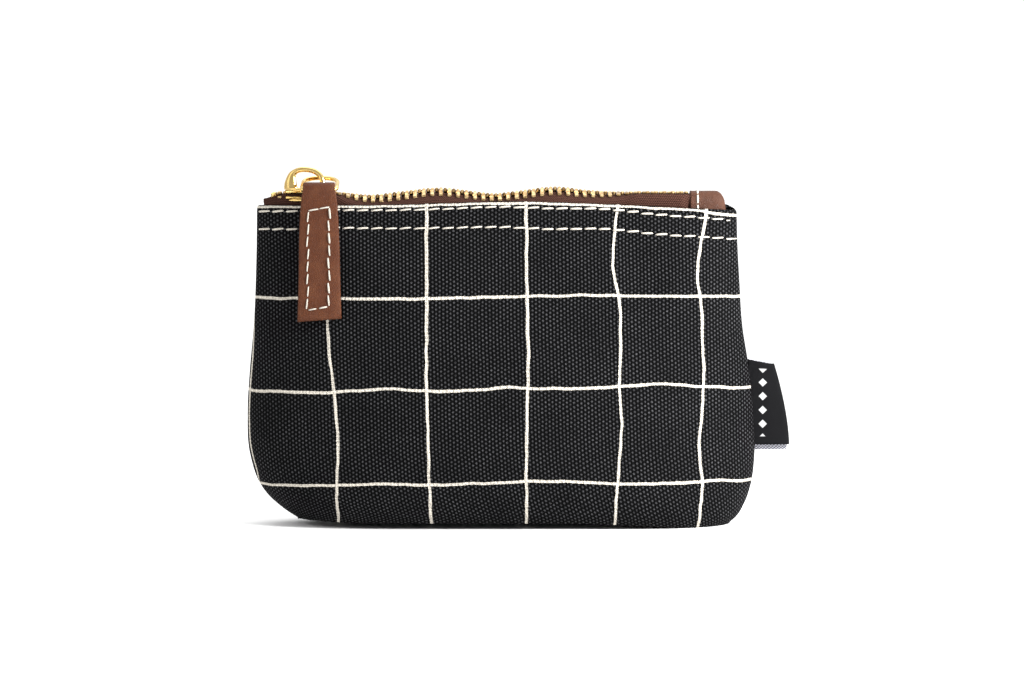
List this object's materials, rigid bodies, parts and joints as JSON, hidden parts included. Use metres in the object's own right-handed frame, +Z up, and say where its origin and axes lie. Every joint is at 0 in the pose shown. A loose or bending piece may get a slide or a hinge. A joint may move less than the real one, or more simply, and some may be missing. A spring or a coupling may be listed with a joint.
{
  "type": "zippered canvas pouch",
  "caption": "Small canvas pouch with a boxed bottom, a metal zip along its mouth, a ring and folded leather pull, a leather end tab and a ribbon in the side seam.",
  "frame": {"origin": "middle of the base, on the surface that the pouch stands on", "axes": "+X along the mouth from the slider's closed end towards the leather end tab, -Y out of the front wall, where the pull hangs, +Z up"},
  "size_m": [0.1624, 0.0388, 0.1077],
  "materials": {
    "canvas": "matt heavy cotton duck with a raised cream grid",
    "lining": "plain dark cotton",
    "tape": "brown woven twill",
    "thread": "off-white polyester",
    "seam_thread": "dark polyester",
    "brass": "polished pale gold",
    "leather": "waxed brown hide",
    "ribbon": "black woven ribbon"
  },
  "bodies": {
    "pouch": {"back_panel": "canvas", "back_lining": "lining", "back_upper_topstitch": "thread", "back_lower_topstitch": "thread", "back_tape": "tape", "back_tape_cord": "tape", "back_teeth": "brass", "back_top_stop": "brass", "bottom_stop": "brass", "end_tab": "leather", "end_tab_stitch": "thread", "side_label": "ribbon", "left_seam_thread": "seam_thread", "right_seam_thread": "seam_thread", "bottom_seam_thread": "seam_thread", "left_corner_thread": "seam_thread", "right_corner_thread": "seam_thread"},
    "front_wall": {"front_panel": "canvas", "front_lining": "lining", "front_upper_topstitch": "thread", "front_lower_topstitch": "thread", "front_tape": "tape", "front_tape_cord": "tape", "front_teeth": "brass", "front_top_stop": "brass"},
    "slider": {"slider_body": "brass", "slider_arch": "brass"},
    "ring": {"pull_ring": "brass"},
    "pull": {"pull_strap": "leather", "pull_stitching": "thread"}
  },
  "joints": [
    {"name": "slider_slide", "type": "slide", "parent": "pouch", "child": "slider", "axis": [1, 0, 0], "range_m": [0, 0.108], "deforming": ["back_teeth"]},
    {"name": "mouth_opening", "type": "hinge", "parent": "pouch", "child": "front_wall", "pos_m": [0, -0.0165, 0], "axis": [1, 0, 0], "range_deg": [0, 12], "deforming": ["front_panel", "front_lining", "front_upper_topstitch", "front_lower_topstitch", "front_tape", "front_tape_cord", "front_teeth", "front_top_stop"]},
    {"name": "ring_swing", "type": "hinge", "parent": "slider", "child": "ring", "pos_m": [-0.0546, 0.0022, 0.1042], "axis": [-1, 0, 0], "range_deg": [0, 36]},
    {"name": "pull_swing", "type": "hinge", "parent": "ring", "child": "pull", "pos_m": [-0.0546, -0.0084, 0.1012], "axis": [-1, 0, 0], "range_deg": [0, 110]}
  ],
  "couplings": [
    {"joint": "mouth_opening", "follows": "slider_slide", "rad_per_m": 1.9}
  ]
}
